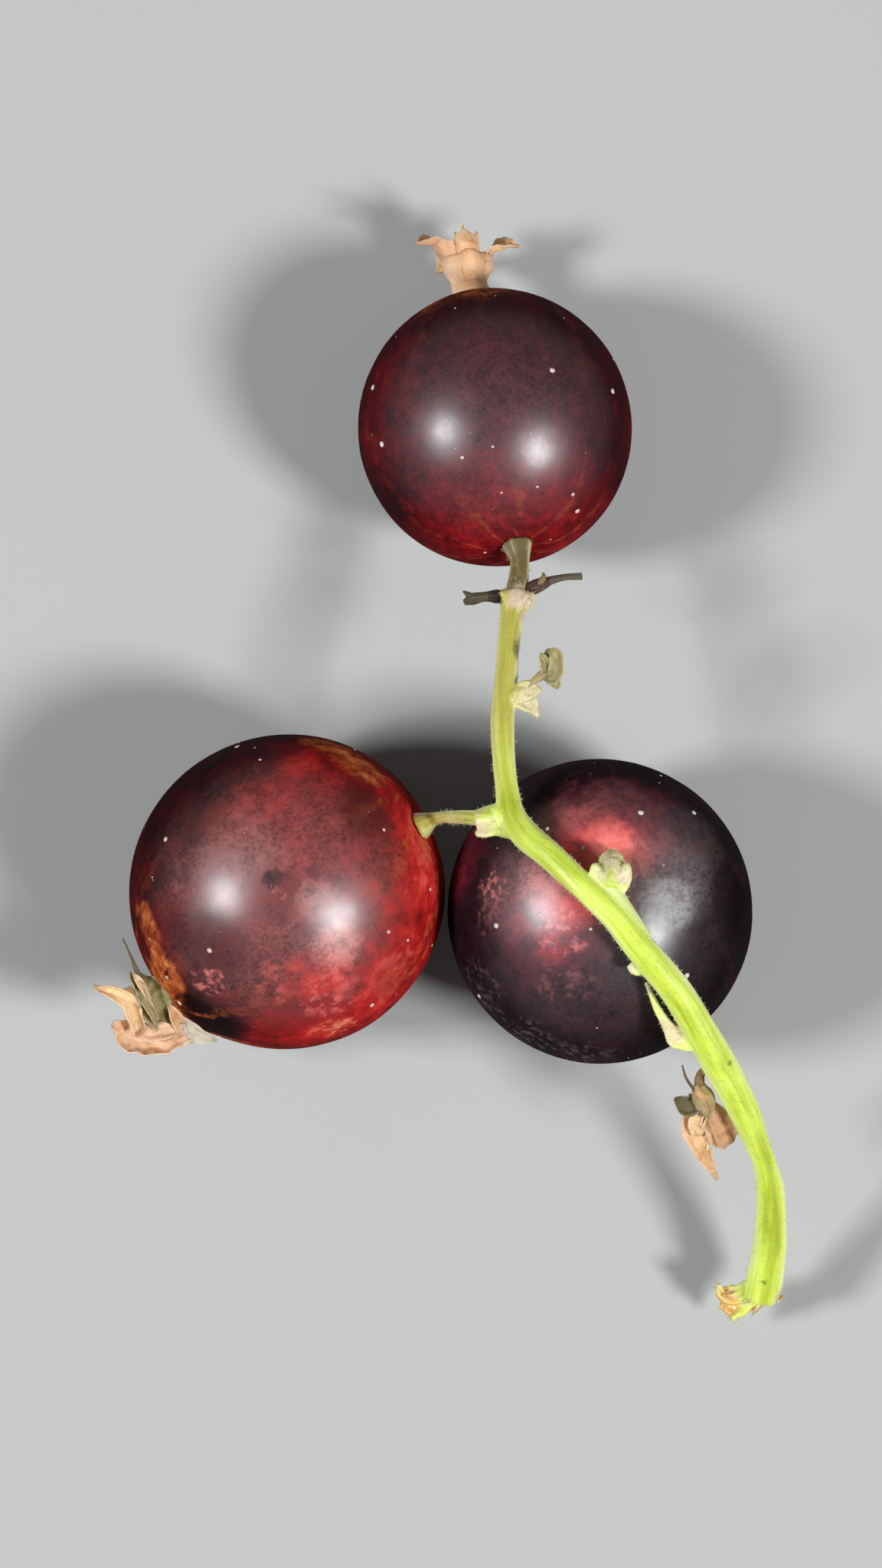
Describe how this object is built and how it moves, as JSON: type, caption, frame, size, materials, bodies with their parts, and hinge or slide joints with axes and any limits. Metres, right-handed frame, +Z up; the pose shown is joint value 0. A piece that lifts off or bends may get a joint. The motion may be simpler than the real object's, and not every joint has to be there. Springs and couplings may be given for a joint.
{
  "type": "blackcurrant sprig",
  "caption": "Picked sprig of blackcurrants: round berries on short stalks along an arched green stem, lying on a flat surface.",
  "frame": {"origin": "on the surface that the sprig lies on, under the middle of its bounding box", "axes": "+Y from the torn end of the stem to the berry at its tip, +Z up off the surface, +X to the right seen from above"},
  "size_m": [0.0251, 0.0397, 0.0126],
  "materials": {
    "green_stem": "waxy fresh green, paler at the nodes",
    "red_skin": "translucent red berry skin, half gloss",
    "purple_skin": "purple-black berry skin, half gloss",
    "wine_skin": "wine-red berry skin, half gloss",
    "dry_calyx": "dried papery brown",
    "dry_olive": "dried olive"
  },
  "bodies": {
    "root": {"stem": "green_stem", "berry_side": "red_skin", "berry_middle": "purple_skin", "berry_end": "wine_skin", "calyx_side": "dry_calyx", "calyx_middle": "dry_calyx", "calyx_end": "dry_calyx", "withered_bud": "dry_olive", "dead_stalk_left": "dry_olive", "dead_stalk_right": "dry_calyx", "withered_flower": "dry_calyx"}
  },
  "joints": []
}
